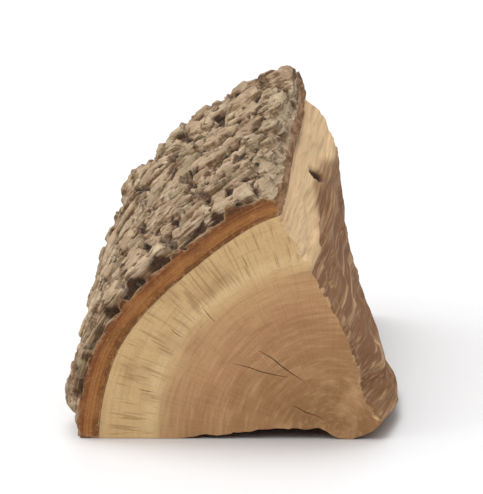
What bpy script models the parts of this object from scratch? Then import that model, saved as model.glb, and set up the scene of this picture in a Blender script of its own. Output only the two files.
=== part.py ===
"""A split log of firewood: about a quarter of a hardwood trunk, sawn at both ends and split along the grain.

The log lies along Y on its lower split face, with +Z up and its near sawn end at -Y. The origin is the
middle of its box at the height of the ground. Two solids make it: the wood, and the bark that wraps its
round side. Distances are metres and angles radians. Section points are (x, z) pairs measured from the pith,
which is the middle of the growth rings and lies at the ground, near the log's right side.
"""

import math

import bmesh
import bpy
import numpy as np

# Driving dimensions of the log
LOG_LENGTH = 0.330
WOOD_RADIUS = 0.0980
PITH_X = 0.0438
BARK_FLOOR = 0.0075
PLATE_HEIGHT = 0.0075
BARK_GAP = 0.0004

# The round side is a little flat here at the near end, and round again at the far one
FLAT_DEPTH = 0.0044
FLAT_ANGLE = math.radians(130.0)
FLAT_SPREAD = math.radians(32.0)

# The bark runs round the wood between these angles, seen from the near end and counted from +X
GROUND_ANGLE = math.radians(180.0)
CREST_ANGLE_NEAR = math.radians(103.5)
CREST_ANGLE_FAR = math.radians(101.8)

# Bark plates, longer along the trunk than round it, and the furrows between them, which are deep in some
# places and partly filled in others, most of all where they run along the trunk. The plates are worn away at
# the ground and along the near crest.
PLATE_WIDTH = 0.0170
PLATE_LENGTH = 0.0330
PLATE_SCATTER = 0.90
FURROW_HALF_WIDTH = 0.0050
FURROW_ROUNDNESS = 0.55
FURROW_FILLED_SHARE = 0.75
LENGTHWISE_FILLED_SHARE = 0.45
PLATE_STEP = 0.0020
PLATE_TILT = 0.07
GROUND_WEAR = 0.016
CREST_WEAR = 0.010
CREST_WEAR_LEFT = 0.0005

# The right split face at three places along the log, from the lower nose up to just below the crest. The
# split follows twisted fibres, so it bulges a little way in and is almost upright at the far end.
RIGHT_FACE_NEAR = [(0.0196, 0.0073), (0.0118, 0.0185), (0.0090, 0.0300), (0.0034, 0.0455), (-0.0072, 0.0680),
                   (-0.0150, 0.0800)]
RIGHT_FACE_BULGE = [(0.0262, 0.0062), (0.0200, 0.0185), (0.0130, 0.0300), (0.0040, 0.0455), (-0.0068, 0.0680),
                    (-0.0138, 0.0805)]
RIGHT_FACE_FAR = [(0.0050, 0.0065), (0.0015, 0.0190), (-0.0020, 0.0310), (-0.0045, 0.0480), (-0.0056, 0.0680),
                  (-0.0098, 0.0825)]
BULGE_AT = 0.20
RIGHT_FACE_NORMAL = (0.903, 0.430)
RIGHT_FACE_SPAN = 0.100
RIGHT_FACE_HELD_BELOW = 0.08
RIGHT_FACE_HELD_ABOVE = 0.12

# The lower split face touches the ground in two strips and arches over it between them, higher on the right
ARCH_LEFT = -0.066
ARCH_HEIGHT_LEFT = 0.0012
ARCH_HEIGHT_RIGHT = 0.0044
ARCH_SQUARENESS = 3.0
ARCH_FROM_NOSE = 0.0166
STRIP_FROM_NOSE = 0.0126
FOOT_FROM_NOSE = 0.0046
FOOT_HEIGHT = 0.0032
CORNER_WIDTH = 0.014

# A split runs along the fibres, and here and there it jumps from one layer of them to the next
TORN_STEP = 0.0024
TORN_LEVELS = 2.0
TORN_RISE = 0.060
TORN_SOFTNESS = 0.30

# Unevenness of each surface: the height of its hills, their width, their length along the log, and a seed
GROUND_EDGE = (0.0016, 0.100, 0.035, 21)
CREST_EDGE = (0.0014, 0.100, 0.045, 22)
WOOD_SWELL = (0.0016, 0.035, 0.120, 114)
NOSE_EDGE = (0.0020, 0.100, 0.050, 24)
PLATE_WANDER_ROUND = (0.0030, 0.030, 0.045, 31)
PLATE_WANDER_ALONG = (0.0070, 0.020, 0.035, 32)
PLATE_SEED = 7
PLATE_ROUGHNESS = (0.0006, 0.006, 0.015, 34)
FURROW_FILLING = (0.75, 0.011, 0.020, 63)
WEAR_WANDER = (0.50, 0.100, 0.022, 35)
ARCH_WAVE = (0.0018, 0.060, 0.110, 193)
LOWER_LAYERS = (1.0, 0.030, 0.260, 102)
LOWER_FIBRES = (0.0005, 0.006, 0.100, 43)
RIGHT_WAVE = (0.0014, 0.035, 0.130, 51)
RIGHT_LAYERS = (1.0, 0.030, 0.260, 52)
RIGHT_FIBRES = (0.0005, 0.006, 0.100, 53)

# How finely each surface is divided
SECTION_ROWS = 24
ROUND_COLUMNS = 18
LOWER_COLUMNS = 24
RIGHT_COLUMNS = 30
BARK_COLUMNS = 54
BARK_ROWS = 64

TABLE_SIZE = 64


def fade(share):
    """0 to 1 with level ends, for a share that is cut to 0 to 1."""
    share = np.clip(share, 0.0, 1.0)
    return share * share * (3.0 - 2.0 * share)


def random_table(seed, depth):
    return np.random.default_rng(seed).random((TABLE_SIZE, TABLE_SIZE, depth))


def waves(across, y, unevenness):
    """Smooth hills and hollows between plus and minus the height of the unevenness."""
    height, width, length, seed = unevenness
    table = random_table(seed, 1)[..., 0] * 2.0 - 1.0
    across = across / width
    along = y / length
    column = np.floor(across).astype(int)
    row = np.floor(along).astype(int)
    right = fade(across - column)
    up = fade(along - row)
    corners = [table[(column + i) % TABLE_SIZE, (row + j) % TABLE_SIZE] for i in (0, 1) for j in (0, 1)]
    left_side = corners[0] * (1 - up) + corners[1] * up
    right_side = corners[2] * (1 - up) + corners[3] * up
    return height * (left_side * (1 - right) + right_side * right)


def plates(around, along):
    """Splits the bark into plates round scattered centres.

    Returns the distance to the edge of the plate, the offset from its centre around and along, three random
    numbers from 0 to 1 that belong to the plate, and how far its nearest edge runs round the log: 0 for an
    edge along the log and 1 for one straight round it.
    """
    table = random_table(PLATE_SEED, 5)
    size = np.array([PLATE_WIDTH, PLATE_LENGTH])
    place = np.stack([around, along], axis=-1) / size
    column, row = np.moveaxis(np.floor(place).astype(int), -1, 0)
    nearest = np.full(around.shape, np.inf)
    second = np.full(around.shape, np.inf)
    offset = np.zeros(around.shape + (2,))
    second_offset = np.zeros(around.shape + (2,))
    chances = np.zeros(around.shape + (3,))
    for i in (-1, 0, 1):
        for j in (-1, 0, 1):
            cell = table[(column + i) % TABLE_SIZE, (row + j) % TABLE_SIZE]
            corner = np.stack([column + i, row + j], axis=-1)
            this_offset = place - (corner + 0.5 + PLATE_SCATTER * (cell[..., :2] - 0.5))
            distance = np.hypot(this_offset[..., 0], this_offset[..., 1])
            closer = distance < nearest
            closest_but_one = (distance < second)[..., None]
            second_offset = np.where(closest_but_one, this_offset, second_offset)
            second_offset = np.where(closer[..., None], offset, second_offset)
            second = np.where(closer, nearest, np.minimum(second, distance))
            nearest = np.where(closer, distance, nearest)
            offset = np.where(closer[..., None], this_offset, offset)
            chances = np.where(closer[..., None], cell[..., 2:], chances)
    to_edge = 0.5 * (second - nearest) * PLATE_WIDTH
    across_edge = (offset - second_offset) / size
    crosswise = across_edge[..., 1] ** 2 / np.maximum(1e-9, np.sum(across_edge**2, axis=-1))
    return to_edge, offset * size, chances, crosswise


def torn_relief(across, y, layers, fibres):
    """Long facets along the grain with steps between them, and fine ridges of fibre, in metres."""
    level = TORN_LEVELS * waves(across, y, layers) + across / TORN_RISE
    below = np.floor(level)
    stepped = below + fade((level - below - 0.5) / TORN_SOFTNESS + 0.5)
    return TORN_STEP * (stepped - level) + waves(across, y, fibres)


def smooth_curve(knots, count):
    """Points at equal shares of a smooth curve through each row's knots, without its end."""
    position = np.linspace(0.0, knots.shape[1] - 1.0, count + 1)[:-1]
    start = np.floor(position).astype(int)
    t = (position - start)[None, :, None]
    before = 2.0 * knots[:, :1] - knots[:, 1:2]
    after = 2.0 * knots[:, -1:] - knots[:, -2:-1]
    padded = np.concatenate([before, knots, after], axis=1)
    a, b, c, d = (padded[:, start + i] for i in range(4))
    bend = (2.0 * a - 5.0 * b + 4.0 * c - d) * t**2
    twist = (3.0 * b - a - 3.0 * c + d) * t**3
    return 0.5 * (2.0 * b + (c - a) * t + bend + twist)


def from_near_end(y):
    """0 at the near sawn end and 1 at the far one."""
    return y / LOG_LENGTH + 0.5


def ground_angle(y):
    """Where the round side ends at the ground. The split tore it, so parts of it are lifted a little."""
    lift = np.maximum(0.0, waves(np.zeros_like(y), y, GROUND_EDGE))
    return GROUND_ANGLE - lift / WOOD_RADIUS


def crest_angle(y):
    """Where the round side ends at the crest, over the right split face."""
    straight = CREST_ANGLE_NEAR + (CREST_ANGLE_FAR - CREST_ANGLE_NEAR) * from_near_end(y)
    return straight + waves(np.zeros_like(y), y, CREST_EDGE) / WOOD_RADIUS


def wood_radius(angle, y):
    """From the pith to the outside of the wood."""
    flat = FLAT_DEPTH * fade(1.0 - np.abs(angle - FLAT_ANGLE) / FLAT_SPREAD) * (1.0 - from_near_end(y))
    return WOOD_RADIUS - flat + waves(angle * WOOD_RADIUS, y, WOOD_SWELL)


def plates_left(around, y):
    """The share of the plates' height that is left at each point: none where they are worn away."""
    wander = 1.0 + waves(np.zeros_like(y), y, WEAR_WANDER)
    from_crest = (GROUND_ANGLE - crest_angle(y)) * WOOD_RADIUS - around
    crest_wear = CREST_WEAR * (1.0 - from_near_end(y)) * wander + CREST_WEAR_LEFT
    return fade(around / (GROUND_WEAR * wander)) * fade(from_crest / crest_wear)


def bark_thickness(around, y):
    """The bark over a point that lies around the trunk from the ground, and y along it."""
    plate_around = around + waves(around, y, PLATE_WANDER_ROUND)
    plate_along = y + waves(around, y, PLATE_WANDER_ALONG)
    to_edge, offset, chances, crosswise = plates(plate_around, plate_along)
    step = PLATE_STEP * (chances[..., 0] - 0.5)
    tilt = PLATE_TILT * np.sum((chances[..., 1:] - 0.5) * offset, axis=-1)
    plate = PLATE_HEIGHT + step + tilt + waves(around, y, PLATE_ROUGHNESS)
    rise = fade(to_edge / FURROW_HALF_WIDTH) ** FURROW_ROUNDNESS
    filled = FURROW_FILLED_SHARE * fade(0.5 + waves(around, y, FURROW_FILLING))
    filled = np.maximum(filled, LENGTHWISE_FILLED_SHARE * (1.0 - crosswise))
    return BARK_FLOOR + plate * plates_left(around, y) * (rise + filled - rise * filled)


def round_points(radius, angle, y):
    return np.stack([PITH_X + radius * np.cos(angle), y, radius * np.sin(angle)], axis=-1)


def round_grid(columns, rows):
    """The angle and y of each point of a grid on the round side, rows along the log, from ground to crest."""
    y = np.linspace(-LOG_LENGTH / 2, LOG_LENGTH / 2, rows + 1)[:, None]
    share = np.linspace(0.0, 1.0, columns + 1)[None, :]
    y = np.broadcast_to(y, (rows + 1, columns + 1))
    return ground_angle(y) + (crest_angle(y) - ground_angle(y)) * share, y


def right_face_knots(y):
    """The outline of the right split face at each y, from the nose up to just below the crest."""
    share = from_near_end(y)[:, None, None]
    near, bulge, far = (np.array(outline) for outline in (RIGHT_FACE_NEAR, RIGHT_FACE_BULGE, RIGHT_FACE_FAR))
    before_bulge = near + (bulge - near) * fade(share / BULGE_AT)
    after_bulge = bulge + (far - bulge) * (share - BULGE_AT) / (1.0 - BULGE_AT)
    knots = np.where(share < BULGE_AT, before_bulge, after_bulge)
    knots[:, 0, 0] += waves(np.zeros_like(y), y, NOSE_EDGE)
    return knots


def lower_face(y):
    """Section points of the lower split face at each y, from the round side to the foot of the nose."""
    nose_x = right_face_knots(y)[:, 0, 0][:, None]
    corner_angle = ground_angle(y)[:, None]
    corner_x = wood_radius(corner_angle, y[:, None]) * np.cos(corner_angle)
    corner_z = wood_radius(corner_angle, y[:, None]) * np.sin(corner_angle)
    share = np.linspace(0.0, 1.0, LOWER_COLUMNS + 1)
    x = corner_x + (nose_x - STRIP_FROM_NOSE - corner_x) * share
    rows = np.broadcast_to(y[:, None], x.shape)
    arch_right = nose_x - ARCH_FROM_NOSE
    across_arch = (x - ARCH_LEFT) / (arch_right - ARCH_LEFT)
    in_arch = fade(ARCH_SQUARENESS * (1.0 - np.abs(2.0 * across_arch - 1.0)))
    arch_height = ARCH_HEIGHT_LEFT + (ARCH_HEIGHT_RIGHT - ARCH_HEIGHT_LEFT) * across_arch
    relief = torn_relief(x, rows, LOWER_LAYERS, LOWER_FIBRES)
    height = arch_height + waves(x, rows, ARCH_WAVE) + relief
    in_corner = 1.0 - fade((x - corner_x) / CORNER_WIDTH)
    z = np.maximum(0.0, height * in_arch) + corner_z * in_corner
    points = np.stack([x, z], axis=-1)
    foot = np.stack([nose_x - FOOT_FROM_NOSE, np.full_like(nose_x, FOOT_HEIGHT)], axis=-1)
    return np.concatenate([points, foot], axis=1)


def right_face(y):
    """Section points of the right split face at each y, from the nose up to just below the crest."""
    angle = crest_angle(y)
    radius = wood_radius(angle, y)
    crest = np.stack([radius * np.cos(angle), radius * np.sin(angle)], axis=-1)[:, None]
    points = smooth_curve(np.concatenate([right_face_knots(y), crest], axis=1), RIGHT_COLUMNS)
    share = np.linspace(0.0, 1.0, RIGHT_COLUMNS + 1)[:-1]
    rows = np.broadcast_to(y[:, None], points.shape[:2])
    across = np.broadcast_to(share * RIGHT_FACE_SPAN, points.shape[:2])
    held = fade(share / RIGHT_FACE_HELD_BELOW) * fade((1.0 - share) / RIGHT_FACE_HELD_ABOVE)
    relief = torn_relief(across, rows, RIGHT_LAYERS, RIGHT_FIBRES)
    out = (waves(across, rows, RIGHT_WAVE) + relief) * held
    return points + out[..., None] * np.array(RIGHT_FACE_NORMAL)


def new_material(name, colour, roughness):
    material = bpy.data.materials.new(name)
    material.use_nodes = True
    shader = material.node_tree.nodes["Principled BSDF"]
    shader.inputs["Base Color"].default_value = (*colour, 1.0)
    shader.inputs["Roughness"].default_value = roughness
    shader.inputs["Metallic"].default_value = 0.0
    return material


def new_object(name, bm, material, sharp_angle):
    bmesh.ops.recalc_face_normals(bm, faces=bm.faces)
    mesh = bpy.data.meshes.new(name)
    bm.to_mesh(mesh)
    bm.free()
    mesh.shade_smooth()
    mesh.set_sharp_from_angle(angle=sharp_angle)
    mesh.materials.append(material)
    bpy.context.scene.collection.objects.link(bpy.data.objects.new(name, mesh))


def add_grid(bm, points):
    """Vertices for a rows-by-columns array of points, with the faces between them."""
    grid = [[bm.verts.new(point) for point in row] for row in points]
    for this_row, next_row in zip(grid, grid[1:]):
        for a, b, c, d in zip(this_row, this_row[1:], next_row[1:], next_row):
            bm.faces.new((a, b, c, d))
    return grid


def join_edges(bm, first, second):
    """Triangles between two chains of vertices that run the same way along the log."""
    i = j = 0
    while i + 1 < len(first) or j + 1 < len(second):
        second_done = j + 1 == len(second)
        if second_done or (i + 1 < len(first) and first[i + 1].co.y <= second[j + 1].co.y):
            bm.faces.new((first[i], first[i + 1], second[j]))
            i += 1
        else:
            bm.faces.new((first[i], second[j + 1], second[j]))
            j += 1


def make_wood(material):
    """The wedge of wood: a section at each row, joined along the grain and closed by the two sawn ends."""
    y = np.linspace(-LOG_LENGTH / 2, LOG_LENGTH / 2, SECTION_ROWS + 1)
    flat_sides = np.concatenate([lower_face(y), right_face(y)], axis=1)
    flat_y = np.broadcast_to(y[:, None], flat_sides.shape[:2])
    flat_points = np.stack([flat_sides[..., 0] + PITH_X, flat_y, flat_sides[..., 1]], axis=-1)
    angle, round_y = round_grid(ROUND_COLUMNS, SECTION_ROWS)
    round_side = round_points(wood_radius(angle, round_y), angle, round_y)[:, :0:-1]
    bm = bmesh.new()
    grid = add_grid(bm, np.concatenate([flat_points, round_side], axis=1))
    for this_row, next_row in zip(grid, grid[1:]):
        bm.faces.new((this_row[-1], this_row[0], next_row[0], next_row[-1]))
    bm.faces.new(grid[0])
    bm.faces.new(grid[-1])
    new_object("wood", bm, material, math.radians(35.0))


def make_bark(material):
    """The bark: plates and furrows outside, and inside the same curve as the wood, a gap away from it."""
    angle, y = round_grid(BARK_COLUMNS, BARK_ROWS)
    around = (GROUND_ANGLE - angle) * WOOD_RADIUS
    outside = round_points(wood_radius(angle, y) + BARK_GAP + bark_thickness(around, y), angle, y)
    inner_angle, inner_y = round_grid(ROUND_COLUMNS, SECTION_ROWS)
    inside = round_points(wood_radius(inner_angle, inner_y) + BARK_GAP, inner_angle, inner_y)
    bm = bmesh.new()
    outer = add_grid(bm, outside)
    inner = add_grid(bm, inside)
    for side in (0, -1):
        join_edges(bm, [row[side] for row in outer], [row[side] for row in inner])
    for end in (0, -1):
        bm.faces.new(outer[end] + inner[end][::-1])
    new_object("bark", bm, material, math.radians(50.0))


def main():
    for old in list(bpy.data.objects):
        bpy.data.objects.remove(old)
    make_wood(new_material("wood", (0.55, 0.38, 0.22), 0.75))
    make_bark(new_material("bark", (0.30, 0.24, 0.18), 0.95))


main()
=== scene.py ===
"""The finish of the split log: its fine bark, torn fibres and sawn ends, the light and the camera.

Two fine pieces stand for the wood and the bark. They follow the formulas of the solids that they replace, on
a closer grid, and add the flakes, cracks and fibres that are too small for the solids. The log lies along Y
on its lower split face, with its near sawn end at -Y. Section points are (x, z) pairs measured from the pith.
Distances are metres and angles radians.
"""

import math
from collections import namedtuple

import bpy
import numpy as np
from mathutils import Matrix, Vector
from mathutils.geometry import delaunay_2d_cdt


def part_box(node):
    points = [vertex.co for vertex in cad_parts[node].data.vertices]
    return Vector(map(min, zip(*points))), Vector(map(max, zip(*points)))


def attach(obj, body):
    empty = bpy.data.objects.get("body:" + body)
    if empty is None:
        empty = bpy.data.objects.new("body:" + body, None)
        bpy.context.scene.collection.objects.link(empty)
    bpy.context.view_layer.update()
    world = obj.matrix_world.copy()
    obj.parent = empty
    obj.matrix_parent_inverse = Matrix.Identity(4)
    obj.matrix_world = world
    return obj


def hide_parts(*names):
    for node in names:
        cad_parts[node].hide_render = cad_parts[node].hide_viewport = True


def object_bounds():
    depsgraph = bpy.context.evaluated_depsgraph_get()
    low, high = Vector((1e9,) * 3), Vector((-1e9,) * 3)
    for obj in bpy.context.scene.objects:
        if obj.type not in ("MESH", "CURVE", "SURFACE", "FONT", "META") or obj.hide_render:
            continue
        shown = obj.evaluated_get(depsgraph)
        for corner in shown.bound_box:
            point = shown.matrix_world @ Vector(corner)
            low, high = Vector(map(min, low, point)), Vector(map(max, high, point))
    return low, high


# The log's driving dimensions, the same as the solids'
WOOD_RADIUS = 0.0980
PITH_X = 0.0438
BARK_FLOOR = 0.0075
PLATE_HEIGHT = 0.0075
BARK_GAP = 0.0004
FLAT_DEPTH = 0.0044
FLAT_ANGLE = math.radians(130.0)
FLAT_SPREAD = math.radians(32.0)
GROUND_ANGLE = math.radians(180.0)
CREST_ANGLE_NEAR = math.radians(103.5)
CREST_ANGLE_FAR = math.radians(101.8)

# Bark plates and furrows, the same as the solid's. Cells are (width, length, scatter, seed).
PLATES = (0.0170, 0.0330, 0.90, 7)
FURROW_HALF_WIDTH = 0.0050
FURROW_ROUNDNESS = 0.55
FURROW_FILLED_SHARE = 0.75
LENGTHWISE_FILLED_SHARE = 0.45
PLATE_STEP = 0.0020
PLATE_TILT = 0.07
GROUND_WEAR = 0.016
CREST_WEAR = 0.010
CREST_WEAR_LEFT = 0.0005

# The right split face at three places along the log, from the lower nose up to just below the crest
RIGHT_FACE_NEAR = [(0.0196, 0.0073), (0.0118, 0.0185), (0.0090, 0.0300), (0.0034, 0.0455), (-0.0072, 0.0680),
                   (-0.0150, 0.0800)]
RIGHT_FACE_BULGE = [(0.0262, 0.0062), (0.0200, 0.0185), (0.0130, 0.0300), (0.0040, 0.0455), (-0.0068, 0.0680),
                    (-0.0138, 0.0805)]
RIGHT_FACE_FAR = [(0.0050, 0.0065), (0.0015, 0.0190), (-0.0020, 0.0310), (-0.0045, 0.0480), (-0.0056, 0.0680),
                  (-0.0098, 0.0825)]
BULGE_AT = 0.20
RIGHT_FACE_NORMAL = (0.903, 0.430)
RIGHT_FACE_SPAN = 0.100
RIGHT_FACE_HELD_BELOW = 0.08
RIGHT_FACE_HELD_ABOVE = 0.12

# The lower split face, which arches over the ground between two strips, higher on the right
ARCH_LEFT = -0.066
ARCH_HEIGHT_LEFT = 0.0012
ARCH_HEIGHT_RIGHT = 0.0044
ARCH_SQUARENESS = 3.0
ARCH_FROM_NOSE = 0.0166
STRIP_FROM_NOSE = 0.0126
FOOT_FROM_NOSE = 0.0046
FOOT_HEIGHT = 0.0032
CORNER_WIDTH = 0.014

# Steps where a split jumps from one layer of fibres to the next
TORN_STEP = 0.0024
TORN_LEVELS = 2.0
TORN_RISE = 0.060
TORN_SOFTNESS = 0.30

# Unevenness of each surface: the height of its hills, their width, their length along the log, and a seed
GROUND_EDGE = (0.0016, 0.100, 0.035, 21)
CREST_EDGE = (0.0014, 0.100, 0.045, 22)
WOOD_SWELL = (0.0016, 0.035, 0.120, 114)
NOSE_EDGE = (0.0020, 0.100, 0.050, 24)
PLATE_WANDER_ROUND = (0.0030, 0.030, 0.045, 31)
PLATE_WANDER_ALONG = (0.0070, 0.020, 0.035, 32)
PLATE_ROUGHNESS = (0.0006, 0.006, 0.015, 34)
FURROW_FILLING = (0.75, 0.011, 0.020, 63)
WEAR_WANDER = (0.50, 0.100, 0.022, 35)
ARCH_WAVE = (0.0018, 0.060, 0.110, 193)
LOWER_LAYERS = (1.0, 0.030, 0.260, 102)
LOWER_FIBRES = (0.0005, 0.006, 0.100, 43)
RIGHT_WAVE = (0.0014, 0.035, 0.130, 51)
RIGHT_LAYERS = (1.0, 0.030, 0.260, 52)
RIGHT_FIBRES = (0.0005, 0.006, 0.100, 53)

# Fine bark: ragged plate edges with steep walls, flaking layers, cracks across the plates and grit
PLATE_EDGE_ROUND = (0.0012, 0.0040, 0.0070, 61)
PLATE_EDGE_ALONG = (0.0018, 0.0075, 0.0060, 62)
LEAST_STEEPNESS = 0.40
FLAKE_LAYERS = 4.0
FLAKE_SHARE = 0.55
FLAKE_WANDER = (0.45, 0.0120, 0.0060, 64)
FLAKE_SOFTNESS = 0.35
HIGHEST_FLAKE = 1.1
TOP_LAYER = 0.0010
TOP_LEVELS = (1.25, 0.0110, 0.0120, 65)
TOP_SOFTNESS = 0.2
CRACKS = (0.0120, 0.0140, 0.95, 66)
CRACK_HALF_WIDTH = 0.0010
CRACK_DEPTH = 0.0024
CRACK_PLACES = (0.8, 0.020, 0.035, 67)
PITS = [(1.0, 0.0072, 0.0200, 78), (0.42, 0.0034, 0.0110, 79)]
PIT_FROM = 0.46
PIT_WALL = 0.28
PIT_DEPTH = 0.0028
GRIT = [(0.00032, 0.0048, 0.0050, 68), (0.00020, 0.0022, 0.0030, 69), (0.00026, 0.0030, 0.0180, 70)]
GRIT_ON_BROKEN_BARK = 0.25
BARK_RAGGED_CREST = [(0.0011, 0.100, 0.011, 71), (0.0006, 0.100, 0.0045, 72)]
TORN_BARK = [(0.0011, 0.0040, 0.0120, 73), (0.0005, 0.0016, 0.0045, 74)]
TORN_BARK_HOLLOW = 0.0006

# The fine bark lies closer to the fine wood than the solids do, because it grew onto it
JOINT_GAP = 0.00012

# At the sawn ends some plates are broken back, as far as the inner bark
BROKEN_BACK = (0.0048, 0.0070, 1.0, 75)
BROKEN_MIDDLE = 0.0012
BROKEN_WALL = 0.0042
BROKEN_LAYERS = 4.0
BROKEN_SOFTNESS = 0.4
BROKEN_WANDER = (0.9, 0.0050, 0.0040, 77)
INNER_BARK = 0.0012
INNER_NOTCHES = (0.0014, 0.0045, 1.0, 76)
CUT_PITS = (0.0003, 0.0030, 0.0030, 93)

# Where bark is darker: painted shade in hollows deeper than their surroundings, and the browner colour of
# steep walls
HOLLOW_WINDOW = (4, 6)
HOLLOW_DEPTH = 0.0022
WALL_STEEPNESS = 1.6
LEVEL_DARKNESS = 0.35
HOLLOW_SHARE = 0.70
STEEP_SHARE = 0.35
WORN_BARK_SHADE_SHARE = 0.35

# Fine wood: layers and fibres of the split faces, and a torn dent below the crest
SPLIT_LAYERS = (2.08, 0.0085, 0.150, 81)
SPLIT_STEP = 0.0009
SPLIT_SOFTNESS = 0.25
SPLIT_FIBRES = [(0.00030, 0.0024, 0.060, 82), (0.00022, 0.0011, 0.030, 83)]
LOWER_DETAIL_SHARE = 0.6
LOWER_DETAIL_SHIFT = 0.2
DETAIL_HELD = 0.02
DENT_ACROSS = 0.084
DENT_Y = 0.028
DENT_HALF_SIZE = (0.0038, 0.0140)
DENT_SLANT = 0.22
DENT_DEPTH = 0.0036
DENT_EDGE = (0.0010, 0.0030, 0.0040, 86)
DENT_SPREAD = 1.4

# Round the dent, the brown heartwood reaches further out in the split face, and less further along it
HEART_REACH = 0.010
HEART_REACH_ALONG = (0.130, 0.020)

# The edge between the right split face and a sawn end, where short splinters have come away
EDGE_DEPTH = 0.0016
EDGE_REACH = 0.0085
EDGE_REACH_WANDER = (0.7, 0.0030, 1.0, 87)
EDGE_WANDER = (0.8, 0.0042, 1.0, 88)
EDGE_MIDDLE = 0.6
EDGE_MOST = 1.2

# Drying checks in the near sawn end: where they start and end, and their half width
CHECKS = [
    ((-0.0434, 0.0319), (-0.0190, 0.0262), 0.00018),
    ((-0.0330, 0.0378), (-0.0120, 0.0240), 0.00021),
    ((-0.0186, 0.0142), (-0.0040, 0.0076), 0.00016),
    ((-0.0560, 0.0560), (-0.0500, 0.0495), 0.00014),
    ((-0.0690, 0.0470), (-0.0640, 0.0432), 0.00014),
    ((-0.0830, 0.0210), (-0.0760, 0.0195), 0.00014),
    ((-0.0390, 0.0780), (-0.0362, 0.0720), 0.00014),
]
CHECK_DEPTH = 0.0022
CHECK_WANDER = (0.0010, 1.0, 0.007, 92)
CHECK_TAPER = 0.6
CHECK_LEAST_OPEN = 0.12
CHECK_POINTS = 24

# The slight waviness of a saw's cut
SAW_WAVES = (0.00012, 0.010, 0.014, 91)

# How finely each surface is divided
WOOD_ROWS = 220
LOWER_COLUMNS = 100
FOOT_COLUMNS = 14
RIGHT_COLUMNS = 130
ROUND_COLUMNS = 24
BARK_ROWS = 350
BARK_COLUMNS = 214
WALL_COLUMNS = 9
END_CLOSENESS = 3.0
CLOSE_REACH = 0.012
PLACES_TRIED = 4001

# The triangles of a sawn end: how far apart their corners are, and how far clear of outline and checks
SAWN_SPACING = 0.0012
SAWN_JITTER = 0.5
CLEAR_OF_OUTLINE = 0.6
CLEAR_OF_CHECKS = 0.5
WOOD_END_SEED = 11
BARK_END_SEED = 13
INSIDE_ONLY = 1
MERGE_DISTANCE = 1e-8

# Angles past which an edge is shaded as a sharp one
SHARP_IN_WOOD = math.radians(50.0)
SHARP_IN_BARK = math.radians(55.0)

TABLE_SIZE = 64
NOISE_TURN = (0.5, 0.9, 0.3)

# Distances from the pith between which the heartwood's border and the pale line outside it rise
HEART_BORDER = (0.0730, 0.0785)
LINE_INSIDE = (0.0770, 0.0800)
LINE_OUTSIDE = (0.0850, 0.0815)
BORDER_NOISE = (3.0, 0.0, 9.0)
BORDER_WANDER = 0.005

# Colours as screens give them, from 0 to 255
SAWN_MIDDLE = (142, 104, 69)
SAWN_HEART = (167, 126, 87)
SAWN_HEART_EDGE = (183, 146, 103)
SAWN_SAPWOOD = (196, 164, 117)
TORN_HEART = (134, 88, 47)
TORN_SAPWOOD = (236, 199, 152)
PALE_LINE = (222, 194, 150)
RAY_DASHES = (128, 94, 58)
# The checks' colour is painted shade
CHECK_SHADE = (92, 62, 38)
PORES = (112, 76, 46)
FRESH_WOOD = (228, 190, 140)
# The dent's colour is painted shade
DENT_SHADE = (74, 46, 26)
PLATE_TOPS = (152, 128, 101)
# Plate sides: browner bark on steep walls and painted shade in hollows. Furrow bottoms: painted shade.
PLATE_SIDES_AND_SHADE = (112, 85, 60)
FURROW_SHADE = ((38, 24, 14), (72, 50, 32))
THIN_LAYER_SHADES = ((92, 67, 46), (196, 174, 143))
THICK_LAYER_SHADES = ((96, 68, 44), (190, 168, 138))
PALE_BARK = (202, 184, 156)
GREEN_BARK = (134, 130, 100)
DARK_SPECKS = (84, 62, 44)
CUT_LAYER_SHADES = ((92, 56, 32), (174, 122, 73))
WEATHERED_BARK = ((112, 82, 56), (190, 156, 118))
PALE_SPECKS = (185, 133, 84)
FLOOR_COLOUR = (227, 227, 228)

# Cut bark from its inside out: the depths between which each colour takes over from the one before
CUT_BARK_INSIDE = (108, 68, 34)
CUT_BARK = [(0.0004, 0.0024, (148, 97, 52)), (0.0035, 0.0075, (128, 77, 43)),
            (0.0080, 0.0095, (84, 54, 32)), (0.0105, 0.0120, (134, 110, 86))]

# Streaks in a colour, dark where their noise is high and pale where it is low. The noise has one scale, or
# three of them: across, along and up the log, or round, out from and along the pith.
DARK_FROM = 0.52
PALE_FROM = 0.48
STREAK_REACH = 0.17
Look = namedtuple("Look", "scale dark pale strength detail roughness distortion reach",
                  defaults=(2.0, 0.5, 0.0, STREAK_REACH))
MOTTLE = Look(45.0, (150, 104, 68), (190, 148, 104), 0.30, 3.0, 0.6)
BANDS = Look((1.5, 120.0, 4.0), (136, 96, 60), (204, 166, 120), 0.24)
RINGS = Look((4.0, 700.0, 6.0), (112, 76, 46), (208, 172, 126), 0.20)
RINGS_FAINTER_OUTSIDE = 0.08
RAYS = Look((75.0, 40.0, 4.0), (116, 80, 50), (196, 158, 114), 0.12, 2.0, 0.6, 0.6)
STAINS = Look((20.0, 5.0, 50.0), (128, 90, 54), (214, 180, 134), 0.30)
LONG_FIBRES = Look((80.0, 3.0, 260.0), (118, 76, 40), (228, 193, 144), 0.48, 3.0, 0.6)
FINE_FIBRES = Look((400.0, 12.0, 1100.0), (104, 68, 36), (220, 186, 138), 0.32, 2.0, 0.6)
BARK_FIBRES = Look((240.0, 24.0, 240.0), (96, 71, 49), (192, 171, 141), 0.26, 3.0, 0.6, reach=0.16)
PATCHES = Look(55.0, (104, 62, 36), (174, 120, 72), 0.38, 2.0, 0.6)

# Other noises of the materials, and how glossy they are
DASH_NOISE = (95.0, 75.0, 4.0)
SAW_NOISE = (60.0, 1.0, 900.0)
SPLINTER_NOISE = (200.0, 30.0, 500.0)
SPECULAR_LEVEL = 0.25

# The photo looks along the log from a little to its right and above, through a long lens
CAMERA_AZIMUTH = math.radians(1.6)
CAMERA_ELEVATION = math.radians(9.0)
CAMERA_DISTANCE = 8.0
SENSOR_SIZE = 36.0
CLIP_END = 100.0
LOG_SHARE_OF_FRAME = 0.76

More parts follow.
